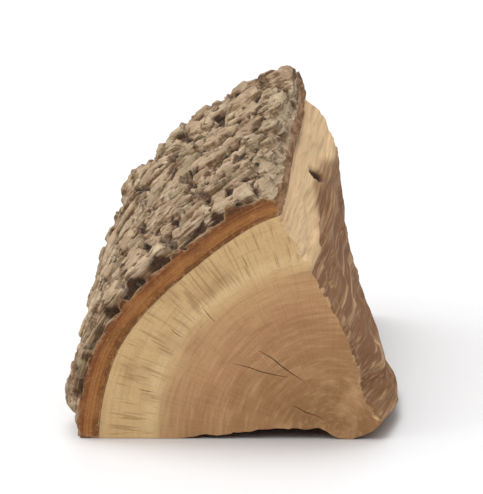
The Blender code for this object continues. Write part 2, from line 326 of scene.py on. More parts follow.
FLOOR_SIZE = 60.0
FLOOR_DROP = 0.0002
FLOOR_ROUGHNESS = 0.45

# A soft sky that is brighter on the left and behind, and two wide suns. Each sun has a name, its azimuth and
# elevation, its strength, and its width.
SKY_STRENGTH = 0.72
SKY_SLOPE = (-0.40, 0.08, 0.10)
SUNS = [("key", -150.0, 58.0, 1.7, 50.0), ("fill", -35.0, 35.0, 1.0, 70.0)]

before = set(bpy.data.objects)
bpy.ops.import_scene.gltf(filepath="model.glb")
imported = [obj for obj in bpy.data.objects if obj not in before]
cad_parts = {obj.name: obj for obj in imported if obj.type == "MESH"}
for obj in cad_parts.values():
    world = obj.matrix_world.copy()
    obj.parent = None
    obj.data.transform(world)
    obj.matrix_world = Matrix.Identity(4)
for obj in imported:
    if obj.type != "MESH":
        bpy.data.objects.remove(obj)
CAD_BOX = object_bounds()
NEAR_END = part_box("wood")[0].y
FAR_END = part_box("wood")[1].y
LOG_LENGTH = FAR_END - NEAR_END


def fade(share):
    """0 to 1 with level ends, for a share that is cut to 0 to 1."""
    share = np.clip(share, 0.0, 1.0)
    return share * share * (3.0 - 2.0 * share)


def random_table(seed, depth):
    return np.random.default_rng(seed).random((TABLE_SIZE, TABLE_SIZE, depth))


def waves(across, y, unevenness):
    """Smooth hills and hollows between plus and minus the height of the unevenness."""
    height, width, length, seed = unevenness
    table = random_table(seed, 1)[..., 0] * 2.0 - 1.0
    across = across / width
    along = y / length
    column = np.floor(across).astype(int)
    row = np.floor(along).astype(int)
    right = fade(across - column)
    up = fade(along - row)
    corners = [table[(column + i) % TABLE_SIZE, (row + j) % TABLE_SIZE] for i in (0, 1) for j in (0, 1)]
    left_side = corners[0] * (1 - up) + corners[1] * up
    right_side = corners[2] * (1 - up) + corners[3] * up
    return height * (left_side * (1 - right) + right_side * right)


def many_waves(across, y, unevennesses):
    return sum(waves(across, y, unevenness) for unevenness in unevennesses)


def end_waves(across, y, unevenness):
    """Waves that stay the same along each half of the log, and differ from one half to the other."""
    return waves(across, np.sign(y) * 0.5, unevenness)


def patches(across, y, unevenness):
    """0 to 1 in soft patches."""
    return fade(0.5 + waves(across, y, unevenness))


def cells(around, along, size):
    """Splits a surface into cells round scattered centres.

    Returns the distance to the edge of the cell, the offset from its centre around and along, three random
    numbers from 0 to 1 that belong to the cell, and how far its nearest edge runs round the log: 0 for an
    edge along the log and 1 for one straight round it.
    """
    width, length, scatter, seed = size
    table = random_table(seed, 5)
    place = np.stack([around / width, along / length], axis=-1)
    column, row = np.moveaxis(np.floor(place).astype(int), -1, 0)
    nearest = np.full(around.shape, np.inf)
    second = np.full(around.shape, np.inf)
    offset = np.zeros(around.shape + (2,))
    second_offset = np.zeros(around.shape + (2,))
    chances = np.zeros(around.shape + (3,))
    for i in (-1, 0, 1):
        for j in (-1, 0, 1):
            cell = table[(column + i) % TABLE_SIZE, (row + j) % TABLE_SIZE]
            corner = np.stack([column + i, row + j], axis=-1)
            this_offset = place - (corner + 0.5 + scatter * (cell[..., :2] - 0.5))
            distance = np.hypot(this_offset[..., 0], this_offset[..., 1])
            closer = distance < nearest
            closest_but_one = (distance < second)[..., None]
            second_offset = np.where(closest_but_one, this_offset, second_offset)
            second_offset = np.where(closer[..., None], offset, second_offset)
            second = np.where(closer, nearest, np.minimum(second, distance))
            nearest = np.where(closer, distance, nearest)
            offset = np.where(closer[..., None], this_offset, offset)
            chances = np.where(closer[..., None], cell[..., 2:], chances)
    to_edge = 0.5 * (second - nearest) * width
    across_edge = (offset - second_offset) / (width, length)
    crosswise = across_edge[..., 1] ** 2 / np.maximum(1e-9, np.sum(across_edge**2, axis=-1))
    return to_edge, offset * (width, length), chances, crosswise


def terraces(level, softness):
    """Turns a slope of levels into flat steps of height 1 with soft edges."""
    below = np.floor(level)
    return below + fade((level - below - 0.5) / softness + 0.5)


def torn_relief(across, y, layers, fibres):
    """Long facets along the grain with steps between them, and fine ridges of fibre, in metres."""
    level = TORN_LEVELS * waves(across, y, layers) + across / TORN_RISE
    return TORN_STEP * (terraces(level, TORN_SOFTNESS) - level) + waves(across, y, fibres)


def split_detail(across, y):
    """The finer layers and fibres of a split face, in metres."""
    level = waves(across, y, SPLIT_LAYERS)
    return SPLIT_STEP * (terraces(level, SPLIT_SOFTNESS) - level) + many_waves(across, y, SPLIT_FIBRES)


def smooth_curve(knots, count):
    """Points at equal shares of a smooth curve through each row's knots, without its end."""
    position = np.linspace(0.0, knots.shape[1] - 1.0, count + 1)[:-1]
    start = np.floor(position).astype(int)
    t = (position - start)[None, :, None]
    before = 2.0 * knots[:, :1] - knots[:, 1:2]
    after = 2.0 * knots[:, -1:] - knots[:, -2:-1]
    padded = np.concatenate([before, knots, after], axis=1)
    a, b, c, d = (padded[:, start + i] for i in range(4))
    bend = (2.0 * a - 5.0 * b + 4.0 * c - d) * t**2
    twist = (3.0 * b - a - 3.0 * c + d) * t**3
    return 0.5 * (2.0 * b + (c - a) * t + bend + twist)


def in_section(radius, angle):
    """Section points at a distance from the pith and an angle round it."""
    return np.stack([radius * np.cos(angle), radius * np.sin(angle)], axis=-1)


def above_ground(section):
    section[..., 1] = np.maximum(section[..., 1], 0.0)
    return section


def at_rows(y, points):
    """Each row's place along the log at each of its points."""
    return np.broadcast_to(y[:, None], points.shape[:2])


def from_near_end(y):
    """0 at the near sawn end and 1 at the far one."""
    return y / LOG_LENGTH + 0.5


def from_nearer_end(y):
    """The distance to the sawn end that is nearer."""
    return LOG_LENGTH / 2 - np.abs(y)


def ground_angle(y):
    """Where the round side ends at the ground."""
    lift = np.maximum(0.0, waves(np.zeros_like(y), y, GROUND_EDGE))
    return GROUND_ANGLE - lift / WOOD_RADIUS


def crest_angle(y):
    """Where the round side ends at the crest, over the right split face."""
    straight = CREST_ANGLE_NEAR + (CREST_ANGLE_FAR - CREST_ANGLE_NEAR) * from_near_end(y)
    return straight + waves(np.zeros_like(y), y, CREST_EDGE) / WOOD_RADIUS


def wood_radius(angle, y):
    """From the pith to the outside of the wood."""
    flat = FLAT_DEPTH * fade(1.0 - np.abs(angle - FLAT_ANGLE) / FLAT_SPREAD) * (1.0 - from_near_end(y))
    return WOOD_RADIUS - flat + waves(angle * WOOD_RADIUS, y, WOOD_SWELL)


def plates_left(around, y):
    """The share of the plates' height that is left at each point: none where they are worn away."""
    wander = 1.0 + waves(np.zeros_like(y), y, WEAR_WANDER)
    from_crest = (GROUND_ANGLE - crest_angle(y)) * WOOD_RADIUS - around
    crest_wear = CREST_WEAR * (1.0 - from_near_end(y)) * wander + CREST_WEAR_LEFT
    return fade(around / (GROUND_WEAR * wander)) * fade(from_crest / crest_wear)


def steepness(values, around, y):
    """How steeply the values of a grid rise or fall."""
    round_it = np.gradient(values, axis=1) / np.gradient(around, axis=1)
    along_it = np.gradient(values, axis=0) / np.gradient(y, axis=0)
    return np.hypot(round_it, along_it)


def true_distance(to_edge, around, y):
    """Distances to cell edges, corrected for the cells being longer along the log than round it."""
    return to_edge / np.clip(steepness(to_edge, around, y), LEAST_STEEPNESS, 1.0)


def broken_share(around, y):
    """1 where the plates stand and 0 where they are broken back from a sawn end."""
    back = BROKEN_MIDDLE + end_waves(around, y, BROKEN_BACK)
    steps = BROKEN_LAYERS * fade((from_nearer_end(y) - back) / BROKEN_WALL) + waves(around, y, BROKEN_WANDER)
    return np.clip(terraces(steps, BROKEN_SOFTNESS) / BROKEN_LAYERS, 0.0, 1.0)


def plate_rise(to_edge, crosswise, around, y):
    """How far up each point stands between the bottom of a furrow, 0, and the top of a plate, 1."""
    rise = fade(to_edge / FURROW_HALF_WIDTH) ** FURROW_ROUNDNESS
    filled = FURROW_FILLED_SHARE * patches(around, y, FURROW_FILLING)
    filled = np.maximum(filled, LENGTHWISE_FILLED_SHARE * (1.0 - crosswise))
    rise = rise + filled - rise * filled
    flaked = terraces(rise * FLAKE_LAYERS + waves(around, y, FLAKE_WANDER), FLAKE_SOFTNESS) / FLAKE_LAYERS
    return np.clip(rise + (flaked - rise) * FLAKE_SHARE, 0.0, HIGHEST_FLAKE)


def bark_surface(around, y):
    """How thick the bark is on a grid of points that run round the log and along it."""
    edge_around = waves(around, y, PLATE_EDGE_ROUND)
    edge_along = waves(around, y, PLATE_EDGE_ALONG)
    plate_around = around + waves(around, y, PLATE_WANDER_ROUND) + edge_around
    plate_along = y + waves(around, y, PLATE_WANDER_ALONG) + edge_along
    to_edge, offset, chances, crosswise = cells(plate_around, plate_along, PLATES)
    step = PLATE_STEP * (chances[..., 0] - 0.5)
    tilt = PLATE_TILT * np.sum((chances[..., 1:] - 0.5) * offset, axis=-1)
    plate = PLATE_HEIGHT + step + tilt + waves(around, y, PLATE_ROUGHNESS)
    rise = plate_rise(true_distance(to_edge, around, y), crosswise, around, y)
    top = TOP_LAYER * terraces(waves(around, y, TOP_LEVELS), TOP_SOFTNESS) * rise
    to_crack = true_distance(cells(around + edge_around, y + edge_along, CRACKS)[0], around, y)
    cracked = (1.0 - fade(to_crack / CRACK_HALF_WIDTH)) * patches(around, y, CRACK_PLACES) * rise
    standing_height = plates_left(around, y) * rise
    pitted = fade((many_waves(around, y, PITS) - PIT_FROM) / PIT_WALL) * standing_height
    outer = plate * standing_height + top - CRACK_DEPTH * cracked - PIT_DEPTH * pitted
    standing = broken_share(around, y)
    kept = np.minimum(outer, INNER_BARK + end_waves(around, y, INNER_NOTCHES))
    outer = kept + (outer - kept) * standing
    grit_share = GRIT_ON_BROKEN_BARK + (1.0 - GRIT_ON_BROKEN_BARK) * standing
    return BARK_FLOOR + outer + many_waves(around, y, GRIT) * grit_share


def spread_out(values, window):
    """Each value's average over a window of rows and columns on either side."""
    for axis, reach in enumerate(window):
        padding = [(reach + 1, reach) if number == axis else (0, 0) for number in (0, 1)]
        sums = np.cumsum(np.pad(values, padding, mode="edge"), axis=axis)
        width = 2 * reach + 1
        values = (np.roll(sums, -width, axis=axis) - sums) / width
        values = np.take(values, np.arange(values.shape[axis] - width), axis=axis)
    return values


def bark_shade_and_walls(thickness, around, y):
    """From 0 on the tops of the plates to 1 in hollows (painted shade) and on steep walls (browner bark), and
    how steep the walls are.
    """
    hollow = (spread_out(thickness, HOLLOW_WINDOW) - thickness) / HOLLOW_DEPTH
    steep = fade(steepness(thickness, around, y) / WALL_STEEPNESS)
    shade_and_walls = np.clip(LEVEL_DARKNESS + hollow, 0.0, 1.0) * HOLLOW_SHARE + steep * STEEP_SHARE
    return shade_and_walls, steep


def right_face_knots(y):
    """The outline of the right split face at each y, from the nose up to just below the crest."""
    share = from_near_end(y)[:, None, None]
    near, bulge, far = (np.array(outline) for outline in (RIGHT_FACE_NEAR, RIGHT_FACE_BULGE, RIGHT_FACE_FAR))
    before_bulge = near + (bulge - near) * fade(share / BULGE_AT)
    after_bulge = bulge + (far - bulge) * (share - BULGE_AT) / (1.0 - BULGE_AT)
    knots = np.where(share < BULGE_AT, before_bulge, after_bulge)
    knots[:, 0, 0] += waves(np.zeros_like(y), y, NOSE_EDGE)
    return knots


def lower_face(y):
    """Section points of the lower split face at each y, from the round side to the strip under the nose."""
    nose_x = right_face_knots(y)[:, 0, :1]
    angle = ground_angle(y)
    corner_x, corner_z = np.split(in_section(wood_radius(angle, y), angle), 2, axis=1)
    share = np.linspace(0.0, 1.0, LOWER_COLUMNS + 1)[:-1]
    x = corner_x + (nose_x - STRIP_FROM_NOSE - corner_x) * share
    rows = at_rows(y, x)
    arch_right = nose_x - ARCH_FROM_NOSE
    across_arch = (x - ARCH_LEFT) / (arch_right - ARCH_LEFT)
    in_arch = fade(ARCH_SQUARENESS * (1.0 - np.abs(2.0 * across_arch - 1.0)))
    arch_height = ARCH_HEIGHT_LEFT + (ARCH_HEIGHT_RIGHT - ARCH_HEIGHT_LEFT) * across_arch
    height = arch_height + waves(x, rows, ARCH_WAVE) + torn_relief(x, rows, LOWER_LAYERS, LOWER_FIBRES)
    height = height + split_detail(x + LOWER_DETAIL_SHIFT, rows) * LOWER_DETAIL_SHARE
    in_corner = 1.0 - fade((x - corner_x) / CORNER_WIDTH)
    z = np.maximum(0.0, height * in_arch) + corner_z * in_corner
    return np.stack([x, z], axis=-1)


def foot(y):
    """Section points of the torn edge at each y, from the ground strip to the nose."""
    nose = right_face_knots(y)[:, 0]
    on_ground = nose * (1.0, 0.0)
    strip_end = on_ground - (STRIP_FROM_NOSE, 0.0)
    middle = on_ground - (FOOT_FROM_NOSE, -FOOT_HEIGHT)
    return above_ground(smooth_curve(np.stack([strip_end, middle, nose], axis=1), FOOT_COLUMNS))


def right_face(y):
    """Section points of the right split face at each y, from the nose up to just below the crest.

    With them, how far each is in the dent, and how much of the edge has come away there.
    """
    angle = crest_angle(y)
    crest = in_section(wood_radius(angle, y), angle)[:, None]
    points = smooth_curve(np.concatenate([right_face_knots(y), crest], axis=1), RIGHT_COLUMNS)
    share = np.linspace(0.0, 1.0, RIGHT_COLUMNS + 1)[:-1]
    rows = at_rows(y, points)
    across = np.broadcast_to(share * RIGHT_FACE_SPAN, rows.shape)
    held = fade(share / RIGHT_FACE_HELD_BELOW) * fade((1.0 - share) / RIGHT_FACE_HELD_ABOVE)
    out = (waves(across, rows, RIGHT_WAVE) + torn_relief(across, rows, RIGHT_LAYERS, RIGHT_FIBRES)) * held
    detail_held = fade(share / DETAIL_HELD) * fade((1.0 - share) / DETAIL_HELD)
    dented, torn = dent(across, rows), torn_edge(across, rows)
    out = out + split_detail(across, rows) * detail_held - dented * DENT_DEPTH - torn * EDGE_DEPTH
    return points + out[..., None] * RIGHT_FACE_NORMAL, dented, torn


def dent(across, y):
    """How deep in the torn dent each point is, from 0 to 1."""
    ragged = across + waves(across, y, DENT_EDGE) + DENT_SLANT * (y - DENT_Y)
    apart = np.hypot((ragged - DENT_ACROSS) / DENT_HALF_SIZE[0], (y - DENT_Y) / DENT_HALF_SIZE[1])
    return fade(DENT_SPREAD - apart)


def torn_edge(across, y):
    """How much of the edge between the split and a sawn end has come away with splinters, from 0 to 1."""
    reach = EDGE_REACH * (1.0 + end_waves(across, y, EDGE_REACH_WANDER))
    amount = EDGE_MIDDLE + end_waves(across, y, EDGE_WANDER)
    return fade(1.0 - from_nearer_end(y) / reach) * np.clip(amount, 0.0, EDGE_MOST)


def sawn_relief(points, end_y):
    """How far each point of a sawn end of the wood lies into the log."""
    return SAW_WAVES[0] + waves(points[:, 0], points[:, 1] + end_y, SAW_WAVES)


def check_lines():
    """Three lines of section points for each drying check: its two lips with its bottom between them."""
    lines = []
    share = np.linspace(0.0, 1.0, CHECK_POINTS)
    open_here = np.sin(np.pi * share) ** CHECK_TAPER
    for number, (start, end, half_width) in enumerate(CHECKS):
        start, end = np.array(start), np.array(end)
        length = np.linalg.norm(end - start)
        sideways = waves(np.full(CHECK_POINTS, 0.5 + number), share * length, CHECK_WANDER) * open_here
        side = np.array([start[1] - end[1], end[0] - start[0]]) / length
        for lip in (-1.0, 0.0, 1.0):
            offset = sideways + lip * half_width * np.maximum(open_here, CHECK_LEAST_OPEN)
            points = start + (end - start) * share[:, None] + side * offset[:, None]
            lines.append((points, CHECK_DEPTH * open_here * (lip == 0.0)))
    return lines


def inside_outline(points, outline, margin):
    """Which points lie inside a closed outline and at least a margin from its corners."""
    start, end = outline, np.roll(outline, -1, axis=0)
    x, z = np.split(points, 2, axis=1)
    crosses = (start[:, 1] > z) != (end[:, 1] > z)
    rise = np.where(end[:, 1] == start[:, 1], 1.0, end[:, 1] - start[:, 1])
    cross_x = start[:, 0] + (z - start[:, 1]) * (end[:, 0] - start[:, 0]) / rise
    inside = np.sum(crosses & (x < cross_x), axis=1) % 2 == 1
    apart = np.min(np.hypot(x - start[:, 0], z - start[:, 1]), axis=1)
    return inside & (apart > margin)


def fill_outline(outline, seed, lines=()):
    """Fills a closed outline with triangles.

    Returns the points after the outline's own, how deep each of them lies in a check, and the triangles.
    """
    low, high = outline.min(axis=0), outline.max(axis=0)
    count = np.ceil((high - low) / SAWN_SPACING).astype(int)
    grid = np.indices(count).reshape(2, -1).T
    jitter = SAWN_JITTER * (np.random.default_rng(seed).random(grid.shape) - 0.5)
    points = low + (grid + 0.5 + jitter) * SAWN_SPACING
    if lines:
        on_lines = np.concatenate([line for line, _ in lines])
        apart = np.array([np.min(np.hypot(*(on_lines - point).T)) for point in points])
        points = points[apart > SAWN_SPACING * CLEAR_OF_CHECKS]
    points = points[inside_outline(points, outline, SAWN_SPACING * CLEAR_OF_OUTLINE)]
    depths = np.zeros(len(points))
    edges = []
    for line, depth in lines:
        first = len(outline) + len(points)
        edges += [(first + i, first + i + 1) for i in range(len(line) - 1)]
        points = np.concatenate([points, line])
        depths = np.concatenate([depths, depth])
    everything = [tuple(point) for point in np.concatenate([outline, points])]
    border = [list(range(len(outline)))]
    result = delaunay_2d_cdt(everything, edges, border, INSIDE_ONLY, MERGE_DISTANCE)
    made, triangles, originals = np.array(result[0]), np.array(result[2]), result[3]
    own = np.array([min(same) if same else len(everything) for same in originals])
    extra = own >= len(outline)
    place = np.where(extra, len(outline) + np.cumsum(extra) - 1, own)
    extra_depths = np.append(depths, 0.0)[own[extra] - len(outline)]
    corners = made[triangles]
    backwards = np.linalg.det(corners[:, 1:] - corners[:, :1]) < 0
    triangles[backwards] = triangles[backwards][:, ::-1]
    return made[extra], extra_depths, place[triangles]


def closed_loft(name, sections, side_slots, end_slot, end_points):
    """A closed mesh: rows of closed sections along the log, and a triangulated end on the first and last row.

    end_points gives, for each end, the 3-D points after the section's own and the triangles that use both.
    """
    rows, columns = sections.shape[:2]
    row = np.arange(rows - 1)[:, None] * columns
    here = row + np.arange(columns)
    beside = row + np.arange(1, columns + 1) % columns
    quads = np.stack([here, here + columns, beside + columns, beside], axis=-1).reshape(-1, 4)
    slots = [np.tile(side_slots, rows - 1)]
    points = [sections.reshape(-1, 3)]
    faces = quads.tolist()
    count = rows * columns
    for first_corner, reverse, (extra, triangles) in zip((0, count - columns), (False, True), end_points):
        corner = np.where(triangles < columns, triangles + first_corner, triangles - columns + count)
        faces += (corner[:, ::-1] if reverse else corner).tolist()
        slots.append(np.full(len(triangles), end_slot))
        points.append(extra)
        count += len(extra)
    mesh = bpy.data.meshes.new(name)
    mesh.from_pydata(np.concatenate(points).tolist(), [], faces)
    mesh.polygons.foreach_set("material_index", np.concatenate(slots).astype(np.int32))
    mesh.shade_smooth()
    made = bpy.data.objects.new(name, mesh)
    bpy.context.scene.collection.objects.link(made)
    return made


def add_values(made, name, values):
    """Stores one number for each vertex, for the materials to read."""
    attribute = made.data.attributes.new(name, "FLOAT", "POINT")
    attribute.data.foreach_set("value", np.asarray(values, dtype=np.float32))


def places_along(count):
    """Places from one sawn end to the other, closer together near the ends."""
    y = np.linspace(NEAR_END, FAR_END, PLACES_TRIED)
    closeness = 1.0 + END_CLOSENESS * fade(1.0 - from_nearer_end(y) / CLOSE_REACH)
    passed = np.concatenate([[0.0], np.cumsum(0.5 * (closeness[1:] + closeness[:-1]))])
    return np.interp(np.linspace(0.0, passed[-1], count + 1), passed, y)


def in_space(section, y):
    """Section points at their places along the log, in the log's own space."""
    return np.stack([section[..., 0] + PITH_X, y, section[..., 1]], axis=-1)


def make_wood():
    y = places_along(WOOD_ROWS)
    right, dented, torn = right_face(y)
    share = np.linspace(1.0, 0.0, ROUND_COLUMNS + 1)[:-1]
    angle = ground_angle(y)[:, None] + (crest_angle(y) - ground_angle(y))[:, None] * share
    round_side = in_section(wood_radius(angle, at_rows(y, angle)), angle)
    section = np.concatenate([lower_face(y), foot(y), right, round_side], axis=1)
    rows = at_rows(y, section)
    ends, depths = [], []
    for end, into, lines in ((0, 1.0, check_lines()), (-1, -1.0, [])):
        points, depth, triangles = fill_outline(section[end], WOOD_END_SEED + end, lines)
        end_y = y[end] + into * (sawn_relief(points, y[end]) + depth)
        ends.append((in_space(points, end_y), triangles))
        depths.append(depth / CHECK_DEPTH)
    made = closed_loft("split_wood", in_space(section, rows), np.zeros(section.shape[1], dtype=int), 1, ends)
    depths = np.concatenate(depths)
    add_values(made, "check", np.concatenate([np.zeros(rows.size), depths]))
    first = LOWER_COLUMNS + FOOT_COLUMNS
    for name, on_right_face in (("dent", dented), ("fresh", torn)):
        values = np.zeros(rows.shape)
        values[:, first:first + RIGHT_COLUMNS] = on_right_face
        add_values(made, name, np.concatenate([values.ravel(), np.zeros(len(depths))]))
    made.data.set_sharp_from_angle(angle=SHARP_IN_WOOD)
    return made


def torn_wall(angle, inner, outer, y, inwards):
    """Points across the bark's torn edge at each y, between its outer and inner surface."""
    share = np.linspace(0.0, 1.0, WALL_COLUMNS + 1)[1:-1][None, :]
    radius = outer[:, None] + (inner - outer)[:, None] * share
    back = (many_waves(radius, at_rows(y, radius), TORN_BARK) - TORN_BARK_HOLLOW) * np.sin(np.pi * share)
    return in_section(radius, angle[:, None] + inwards * back / WOOD_RADIUS)


def make_bark():
    y = places_along(BARK_ROWS)
    ground = ground_angle(y)
    ragged = np.maximum(0.0, many_waves(np.zeros_like(y), y, BARK_RAGGED_CREST))
    crest = crest_angle(y) + ragged / WOOD_RADIUS
    angle = ground[:, None] + (crest - ground)[:, None] * np.linspace(0.0, 1.0, BARK_COLUMNS + 1)
    rows = at_rows(y, angle)
    around = (GROUND_ANGLE - angle) * WOOD_RADIUS
    thickness = bark_surface(around, rows)
    # Painted shade in the hollows, with the browner colour of steep walls, and less of both where the plates
    # are worn away
    shade_and_walls, steep = bark_shade_and_walls(thickness, around, rows)
    shade_and_walls = shade_and_walls * (WORN_BARK_SHADE_SHARE + (1.0 - WORN_BARK_SHADE_SHARE) * plates_left(around, rows))
    inside = wood_radius(angle, rows) + JOINT_GAP
    outside = wood_radius(angle, rows) + BARK_GAP + thickness
    outer = above_ground(in_section(outside, angle))
    inner_angle = ground[:, None] + (crest - ground)[:, None] * np.linspace(1.0, 0.0, ROUND_COLUMNS + 1)
    inner = in_section(wood_radius(inner_angle, at_rows(y, inner_angle)) + JOINT_GAP, inner_angle)
    crest_wall = torn_wall(crest, inside[:, -1], outside[:, -1], y, 1.0)
    ground_wall = above_ground(torn_wall(ground, inside[:, 0], outside[:, 0], y, -1.0)[:, ::-1])
    section = np.concatenate([outer, crest_wall, inner, ground_wall], axis=1)[:, ::-1]
    loop_rows = at_rows(y, section)
    ends = []
    everything = [section.reshape(-1, 2)]
    all_y = [loop_rows.ravel()]
    for end, into in ((0, 1.0), (-1, -1.0)):
        points, _, triangles = fill_outline(section[end], BARK_END_SEED + end)
        pitted = CUT_PITS[0] + waves(points[:, 0], points[:, 1], CUT_PITS)
        ends.append((in_space(points, y[end] + into * pitted), triangles))
        everything.append(points)
        all_y.append(np.full(len(points), y[end]))
    columns = section.shape[1]
    slots = np.ones(columns, dtype=int)
    slots[columns - BARK_COLUMNS - 1:columns - 1] = 0
    made = closed_loft("furrowed_bark", in_space(section, loop_rows), slots, 1, ends)
    everything, all_y = np.concatenate(everything), np.concatenate(all_y)
    on_ends = len(everything) - loop_rows.size
    # The dark attribute carries the painted shade of the hollows and the colour of steep walls
    for name, grid in (("dark", shade_and_walls), ("steep", steep)):
        values = np.ones(loop_rows.shape)
        values[:, columns - BARK_COLUMNS - 1:] = grid[:, ::-1]
        add_values(made, name, np.concatenate([values.ravel(), np.ones(on_ends)]))
    add_values(made, "torn", np.concatenate([np.ones(loop_rows.size), np.zeros(on_ends)]))
    under = wood_radius(np.arctan2(everything[:, 1], everything[:, 0]), all_y) + BARK_GAP
    add_values(made, "depth", np.hypot(*everything.T) - under)
    made.data.set_sharp_from_angle(angle=SHARP_IN_BARK)
    return made


class Paint:
    """Builds the nodes of a material or of the sky. Each call returns the socket that carries its result."""

    def __init__(self, owner):
        self.owner = owner
        owner.use_nodes = True
        self.tree = owner.node_tree

    def fill(self, shader, values):
        """Gives a node its values, and returns the material or sky."""
        for name, value in values.items():
            self.feed(self.tree.nodes[shader].inputs[name], value)
        return self.owner

    def node(self, kind, feeds, **settings):
        made = self.tree.nodes.new(kind)
        for name, value in settings.items():
            setattr(made, name, value)
        for socket, value in feeds.items():
            self.feed(made.inputs[socket], value)
        return made

    def feed(self, socket, value):
        if isinstance(value, bpy.types.NodeSocket):
            self.tree.links.new(value, socket)
        else:
            socket.default_value = value

    def place(self):
        """Where a point is, in metres, measured from the pith's line."""
        here = self.node("ShaderNodeTexCoord", {}).outputs["Object"]
        pith = (PITH_X, 0.0, 0.0)
        return self.node("ShaderNodeVectorMath", {0: here, 1: pith}, operation="SUBTRACT").outputs[0]

    def parts(self, vector):
        return self.node("ShaderNodeSeparateXYZ", {0: vector}).outputs

    def vector(self, x, y, z):
        return self.node("ShaderNodeCombineXYZ", {0: x, 1: y, 2: z}).outputs[0]

    def math(self, operation, first, second=0.0, third=0.0):
        return self.node("ShaderNodeMath", {0: first, 1: second, 2: third}, operation=operation).outputs[0]

    def plus(self, first, second):
        return self.math("ADD", first, second)

    def minus(self, first, second):
        return self.math("SUBTRACT", first, second)

    def times(self, first, second):
        return self.math("MULTIPLY", first, second)

    def noise(self, vector, scale, detail=2.0, roughness=0.5, distortion=0.0):
        """Noise from 0 to 1, turned as well if it has a scale for each direction, to hide its own grid."""
        if isinstance(scale, tuple):
            feeds = {"Vector": vector, "Scale": scale, "Rotation": NOISE_TURN}
            vector = self.node("ShaderNodeMapping", feeds, vector_type="POINT").outputs[0]
            scale = 1.0
        feeds = {"Vector": vector, "Scale": scale, "Detail": detail, "Roughness": roughness}
        return self.node("ShaderNodeTexNoise", {**feeds, "Distortion": distortion}).outputs["Fac"]

    def between(self, value, low, high):
        """0 up to low and 1 from high, with a smooth rise between them."""
        feeds = {"Value": value, "From Min": low, "From Max": high}
        return self.node("ShaderNodeMapRange", feeds, interpolation_type="SMOOTHSTEP").outputs["Result"]

    def mix(self, share, first, second):
        feeds = {0: share, 6: as_light(first), 7: as_light(second)}
        return self.node("ShaderNodeMix", feeds, data_type="RGBA", blend_type="MIX").outputs[2]

    def tint(self, base, share, strength, shade):
        """The base with a shade over it where the share is high, no stronger than the strength."""
        return self.mix(self.times(share, strength), base, shade)

    def attribute(self, name):
        return self.node("ShaderNodeAttribute", {}, attribute_name=name).outputs["Fac"]

    def finish(self, base, roughness, height, distance, strength):
        """The material with its colour, its roughness, and bumps of a height times a distance."""
        feeds = {"Height": height, "Distance": distance, "Strength": strength}
        normal = self.node("ShaderNodeBump", feeds).outputs["Normal"]
        values = {"Base Color": base, "Roughness": roughness, "Normal": normal}
        return self.fill("Principled BSDF", {**values, "Specular IOR Level": SPECULAR_LEVEL})


def as_light(colour):
    """Red, green and blue from 0 to 255, as screens give them, turned into light. A socket stays as it is."""
    if not isinstance(colour, tuple):
        return colour
    parts = [part / 255.0 for part in colour]
    return (*(part / 12.92 if part <= 0.04045 else ((part + 0.055) / 1.055) ** 2.4 for part in parts), 1.0)


def round_the_pith(paint):
    """The place of a point, its distance from the pith, and its angle, distance and y in one vector."""
    place = paint.place()
    x, y, z = paint.parts(place)
    across = paint.vector(x, 0.0, z)
    radius = paint.node("ShaderNodeVectorMath", {0: across}, operation="LENGTH").outputs["Value"]
    return place, radius, paint.vector(paint.math("ARCTAN2", z, x), radius, y)


def heart_and_sapwood(paint, radius, polar, heart, sapwood):
    """Brown heartwood inside and pale sapwood outside, with a paler line between them."""
    uneven = paint.plus(radius, paint.times(paint.noise(polar, BORDER_NOISE), BORDER_WANDER))
    base = paint.mix(paint.between(uneven, *HEART_BORDER), heart, sapwood)
    line = paint.times(paint.between(uneven, *LINE_INSIDE), paint.between(uneven, *LINE_OUTSIDE))
    return paint.tint(base, line, 0.35, PALE_LINE)


def streaked(paint, base, noise, dark, pale, strength, reach=STREAK_REACH):
    """The colour with a noise's high parts darker and its low ones paler."""
    base = paint.tint(base, paint.between(noise, DARK_FROM, DARK_FROM + reach), strength, dark)
    return paint.tint(base, paint.between(noise, PALE_FROM, PALE_FROM - reach), strength, pale)


def add_streaks(paint, base, vector, look, strength=None):
    """The colour with streaks of the given look, and the noise that places them."""
    noise = paint.noise(vector, look.scale, look.detail, look.roughness, look.distortion)
    strength = look.strength if strength is None else strength
    return streaked(paint, base, noise, look.dark, look.pale, strength, look.reach), noise


def sawn_wood():
    paint = Paint(bpy.data.materials.new("sawn_wood"))
    place, radius, polar = round_the_pith(paint)
    heart = paint.mix(paint.between(radius, 0.010, 0.064), SAWN_MIDDLE, SAWN_HEART)
    heart = paint.mix(paint.between(radius, 0.056, 0.074), heart, SAWN_HEART_EDGE)
    base = heart_and_sapwood(paint, radius, polar, heart, SAWN_SAPWOOD)
    base, _ = add_streaks(paint, base, place, MOTTLE)
    base, _ = add_streaks(paint, base, polar, BANDS)
    fainter = paint.times(paint.between(radius, 0.072, 0.078), RINGS_FAINTER_OUTSIDE)
    ring_strength = paint.minus(RINGS.strength, fainter)
    base, _ = add_streaks(paint, base, polar, RINGS, ring_strength)
    base, _ = add_streaks(paint, base, polar, RAYS)
    in_sapwood = paint.times(paint.between(radius, 0.074, 0.080), paint.between(radius, 0.098, 0.093))
    dashes = paint.between(paint.noise(polar, DASH_NOISE, 0.0), 0.58, 0.70)
    base = paint.tint(base, paint.times(dashes, in_sapwood), 0.40, RAY_DASHES)
    # Painted shade inside the drying checks, darkest along their bottoms
    base = paint.tint(base, paint.between(paint.attribute("check"), 0.02, 0.60), 0.35, CHECK_SHADE)
    pores = paint.noise(place, 1500.0, 2.0, 0.7)
    base = paint.tint(base, paint.between(pores, 0.50, 0.72), 0.20, PORES)
    saw = paint.noise(place, SAW_NOISE, 1.0)
    height = paint.plus(paint.times(pores, 0.6), paint.times(saw, 0.5))
    return paint.finish(base, 0.82, height, 0.0004, 0.6)


